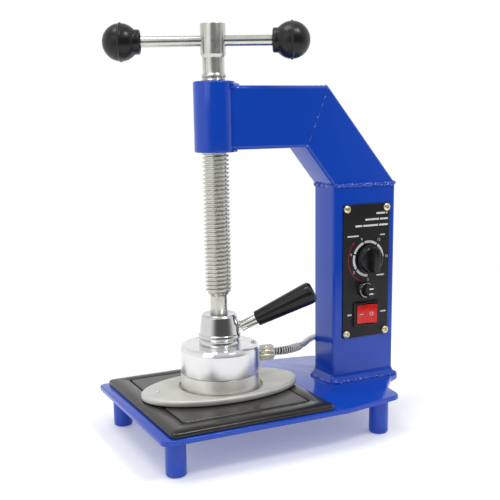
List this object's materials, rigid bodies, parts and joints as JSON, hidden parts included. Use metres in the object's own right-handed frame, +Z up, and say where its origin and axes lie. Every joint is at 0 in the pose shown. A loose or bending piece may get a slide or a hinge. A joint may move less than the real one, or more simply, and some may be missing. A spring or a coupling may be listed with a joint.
{
  "type": "vulcanising screw press",
  "caption": "Bench screw press with a T-bar spindle, heated pressing head and oval shoe over a heated platen, welded frame and timer panel.",
  "frame": {"origin": "middle of the footprint, on the surface the feet stand on", "axes": "+Z up along the screw, +X from the screw to the column, -Y the control panel's side"},
  "size_m": [0.3, 0.194, 0.4034],
  "materials": {
    "blue_paint": "glossy powder coat",
    "zinc_steel": "zinc plated, turned",
    "chrome_plate": "polished",
    "cast_aluminium": "fine as-cast",
    "brass_nut": "nickel-brass, machined",
    "black_plastic": "moulded, satin",
    "black_enamel": "satin black",
    "red_lens": "translucent, glossy",
    "panel_black": "matt with white print",
    "mica_board": "pressed mica",
    "braid_sleeve": "woven glass sleeve"
  },
  "bodies": {
    "frame": {"base_plate": "blue_paint", "foot_1": "blue_paint", "foot_2": "blue_paint", "foot_3": "blue_paint", "foot_4": "blue_paint", "column_tube": "blue_paint", "strut_tube": "blue_paint", "arm_tube": "blue_paint", "screw_boss": "blue_paint", "lower_platen": "black_enamel", "lower_heater": "mica_board", "platen_nut_1": "zinc_steel", "platen_nut_2": "zinc_steel", "platen_nut_3": "zinc_steel", "platen_nut_4": "zinc_steel", "control_panel": "panel_black", "panel_screw_1": "brass_nut", "panel_screw_2": "brass_nut", "panel_screw_3": "brass_nut", "panel_screw_4": "brass_nut", "timer_body": "black_plastic", "fuse_holder": "black_plastic", "switch_housing": "black_plastic", "terminal_block": "black_plastic", "lead_grommet": "black_plastic", "mains_gland": "black_plastic", "heater_lead": "braid_sleeve"},
    "head": {"swivel_cap": "chrome_plate", "thrust_ball": "zinc_steel", "heater_shell": "chrome_plate", "heater_core": "cast_aluminium", "heater_insulation": "mica_board", "thermostat_upper": "black_plastic", "heater_collar": "cast_aluminium", "shoe_plate": "cast_aluminium", "handle_stud": "zinc_steel", "handle_grip": "black_plastic", "gland_nut": "brass_nut", "strain_spring": "zinc_steel"},
    "spindle": {"press_screw": "zinc_steel", "pin_clip": "zinc_steel"},
    "tee_bar": {"tommy_bar": "zinc_steel", "ball_knob_left": "black_plastic", "ball_knob_right": "black_plastic"},
    "timer_dial": {"timer_knob": "black_plastic", "timer_shaft": "zinc_steel"},
    "rocker": {"switch_rocker": "red_lens"},
    "fuse_carrier": {"fuse_link": "brass_nut"},
    "fuse_cover": {"fuse_cap": "black_plastic"}
  },
  "joints": [
    {"name": "screw_feed", "type": "slide", "parent": "frame", "child": "head", "axis": [0, 0, 1], "range_m": [0, 0.14], "deforming": ["heater_lead"]},
    {"name": "screw_turn", "type": "hinge", "parent": "head", "child": "spindle", "pos_m": [-0.051, 0, 0.2], "axis": [0, 0, 1], "range_deg": [0, 12601]},
    {"name": "tee_bar_slide", "type": "slide", "parent": "spindle", "child": "tee_bar", "axis": [0.9018, -0.4321, 0], "range_m": [-0.043, 0.055]},
    {"name": "timer_turn", "type": "hinge", "parent": "frame", "child": "timer_dial", "pos_m": [0.1105, -0.03, 0.1705], "axis": [0, 1, 0], "range_deg": [0, 270]},
    {"name": "switch_rock", "type": "hinge", "parent": "frame", "child": "rocker", "pos_m": [0.108, -0.0205, 0.1122], "axis": [0, 0, 1], "range_deg": [0, 18]},
    {"name": "fuse_pull", "type": "slide", "parent": "frame", "child": "fuse_carrier", "axis": [0, -1, 0], "range_m": [0, 0.024]},
    {"name": "fuse_turn", "type": "hinge", "parent": "fuse_carrier", "child": "fuse_cover", "pos_m": [0.1056, -0.03, 0.1383], "axis": [0, 1, 0], "range_deg": [-90, 0]}
  ],
  "couplings": [
    {"joint": "screw_turn", "follows": "screw_feed", "rad_per_m": 1570.8}
  ]
}
